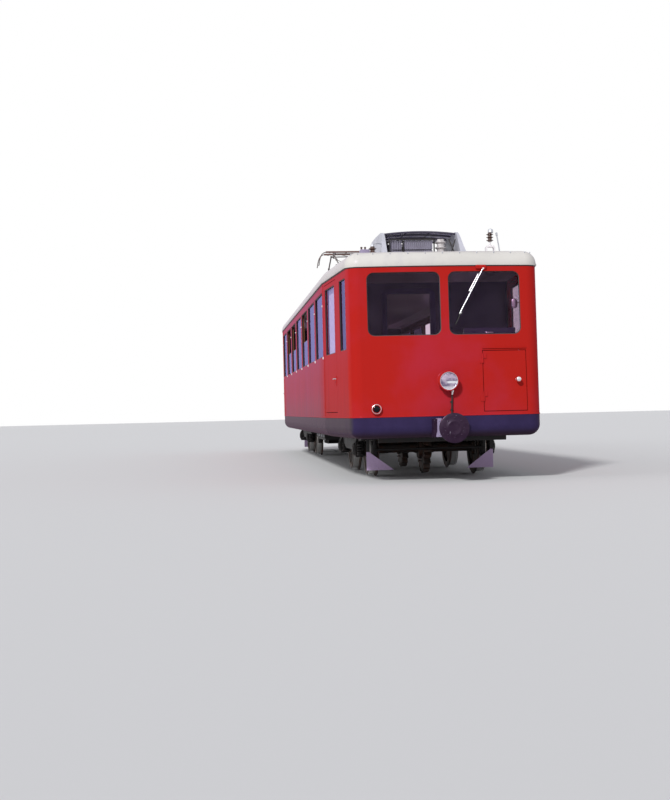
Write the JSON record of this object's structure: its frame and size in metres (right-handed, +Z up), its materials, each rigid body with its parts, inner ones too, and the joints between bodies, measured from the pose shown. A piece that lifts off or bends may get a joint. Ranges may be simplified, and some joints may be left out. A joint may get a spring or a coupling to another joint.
{
  "type": "rack railway railcar",
  "caption": "Electric rack railway railcar with tapered bowed ends, two bogies with toothed rack wheels, raised diamond pantograph and arched resistor hood on a pale roof.",
  "frame": {"origin": "middle of the car on the plane through the wheel flanges' lowest points", "axes": "+Z up, Y along the car with the uphill end at -Y, X across"},
  "size_m": [2.724, 15.4, 3.9957],
  "materials": {
    "body_red": "gloss paint",
    "roof_silver": "weathered light paint",
    "skirt_slate": "satin slate paint",
    "frame_black": "dull black paint",
    "wheel_steel": "worn steel",
    "glass": "clear",
    "bare_metal": "brushed",
    "panto_steel": "weathered steel",
    "wood": "varnished",
    "interior": "satin",
    "floor_dark": "matt",
    "guard_grey": "satin",
    "porcelain": "glazed",
    "chrome": "polished"
  },
  "bodies": {
    "car_body": {"underframe": "frame_black", "floor": "floor_dark", "side_wall_left": "body_red", "side_wall_right": "body_red", "end_shell_front": "body_red", "end_shell_rear": "body_red", "roof": "roof_silver", "skirt": "skirt_slate", "side_glass_left": "glass", "side_glass_right": "glass", "end_glass_front": "glass", "end_glass_rear": "glass", "lamps_front": "body_red", "lamps_rear": "body_red", "lenses_front": "glass", "lenses_rear": "glass", "buffer_front": "frame_black", "buffer_rear": "frame_black", "pantograph_base": "panto_steel", "resistor_hood": "bare_metal", "resistor_bank": "panto_steel", "lightning_arrester": "porcelain", "whistle": "bare_metal", "partitions": "interior", "benches": "wood", "driver_desk_front": "interior", "driver_desk_rear": "interior", "underfloor_boxes": "frame_black", "air_tanks": "frame_black", "wiper_front": "chrome", "wiper_rear": "chrome"},
    "bogie_front": {"bogie_frame_front": "frame_black", "guard_front": "guard_grey"},
    "bogie_rear": {"bogie_frame_rear": "frame_black", "guard_rear": "guard_grey", "motor_block": "frame_black"},
    "axle_1": {"wheelset_1": "wheel_steel"},
    "axle_2": {"wheelset_2": "wheel_steel"},
    "axle_3": {"wheelset_3": "wheel_steel"},
    "axle_4": {"wheelset_4": "wheel_steel"},
    "entrance_front_left": {"door_front_left": "body_red", "door_glass_front_left": "glass"},
    "entrance_front_right": {"door_front_right": "body_red", "door_glass_front_right": "glass"},
    "entrance_rear_left": {"door_rear_left": "body_red", "door_glass_rear_left": "glass"},
    "entrance_rear_right": {"door_rear_right": "body_red", "door_glass_rear_right": "glass"},
    "hatch_lid_front": {"hatch_front": "body_red"},
    "hatch_lid_rear": {"hatch_rear": "body_red"},
    "lower_arm_front": {"panto_lower_arm_front": "panto_steel"},
    "upper_arm_front": {"panto_upper_arm_front": "panto_steel"},
    "lower_arm_rear": {"panto_lower_arm_rear": "panto_steel"},
    "upper_arm_rear": {"panto_upper_arm_rear": "panto_steel"},
    "contact_head": {"pantograph_head": "panto_steel"}
  },
  "joints": [
    {"name": "bogie_swivel_front", "type": "hinge", "parent": "car_body", "child": "bogie_front", "pos_m": [0, -4.4, 0.6], "axis": [0, 0, 1], "range_deg": [-4, 4]},
    {"name": "bogie_swivel_rear", "type": "hinge", "parent": "car_body", "child": "bogie_rear", "pos_m": [0, 4.4, 0.6], "axis": [0, 0, 1], "range_deg": [-4, 4]},
    {"name": "axle_spin_1", "type": "hinge", "parent": "bogie_front", "child": "axle_1", "pos_m": [0, -5.4, 0.381], "axis": [1, 0, 0], "continuous": true},
    {"name": "axle_spin_2", "type": "hinge", "parent": "bogie_front", "child": "axle_2", "pos_m": [0, -3.4, 0.381], "axis": [1, 0, 0], "continuous": true},
    {"name": "axle_spin_3", "type": "hinge", "parent": "bogie_rear", "child": "axle_3", "pos_m": [0, 3.4, 0.381], "axis": [1, 0, 0], "continuous": true},
    {"name": "axle_spin_4", "type": "hinge", "parent": "bogie_rear", "child": "axle_4", "pos_m": [0, 5.4, 0.381], "axis": [1, 0, 0], "continuous": true},
    {"name": "door_hinge_front_left", "type": "hinge", "parent": "car_body", "child": "entrance_front_left", "pos_m": [-1.28507, -5.23477, 1.78], "axis": [0, 0, 1], "range_deg": [0, 85]},
    {"name": "door_hinge_front_right", "type": "hinge", "parent": "car_body", "child": "entrance_front_right", "pos_m": [1.28507, -5.23477, 1.78], "axis": [0, 0, -1], "range_deg": [0, 85]},
    {"name": "door_hinge_rear_left", "type": "hinge", "parent": "car_body", "child": "entrance_rear_left", "pos_m": [-1.28507, 5.23477, 1.78], "axis": [0, 0, -1], "range_deg": [0, 85]},
    {"name": "door_hinge_rear_right", "type": "hinge", "parent": "car_body", "child": "entrance_rear_right", "pos_m": [1.28507, 5.23477, 1.78], "axis": [0, 0, 1], "range_deg": [0, 85]},
    {"name": "hatch_hinge_front", "type": "hinge", "parent": "car_body", "child": "hatch_lid_front", "pos_m": [0.464, -7.28023, 1.25], "axis": [0, -0.044, -0.999], "range_deg": [0, 100]},
    {"name": "hatch_hinge_rear", "type": "hinge", "parent": "car_body", "child": "hatch_lid_rear", "pos_m": [-0.464, 7.28023, 1.25], "axis": [0, 0.044, -0.999], "range_deg": [0, 100]},
    {"name": "pantograph_lift", "type": "hinge", "parent": "car_body", "child": "lower_arm_front", "pos_m": [0, 1.25, 3.23], "axis": [-1, 0, 0], "range_deg": [-14, 40]},
    {"name": "knee_front", "type": "hinge", "parent": "lower_arm_front", "child": "upper_arm_front", "pos_m": [0, 0.15629, 3.58537], "axis": [-1, 0, 0], "range_deg": [-80, 28]},
    {"name": "head_pivot", "type": "hinge", "parent": "upper_arm_front", "child": "contact_head", "pos_m": [0, 1.25, 3.94074], "axis": [-1, 0, 0], "range_deg": [-14, 40]},
    {"name": "lower_arm_rear_lift", "type": "hinge", "parent": "car_body", "child": "lower_arm_rear", "pos_m": [0, 1.75, 3.23], "axis": [-1, 0, 0], "range_deg": [-40, 14]},
    {"name": "knee_rear", "type": "hinge", "parent": "lower_arm_rear", "child": "upper_arm_rear", "pos_m": [0, 2.84371, 3.58537], "axis": [-1, 0, 0], "range_deg": [-28, 80]}
  ],
  "couplings": [
    {"joint": "knee_front", "follows": "pantograph_lift", "ratio": -2},
    {"joint": "head_pivot", "follows": "pantograph_lift", "ratio": 1},
    {"joint": "lower_arm_rear_lift", "follows": "pantograph_lift", "ratio": -1},
    {"joint": "knee_rear", "follows": "pantograph_lift", "ratio": 2}
  ]
}
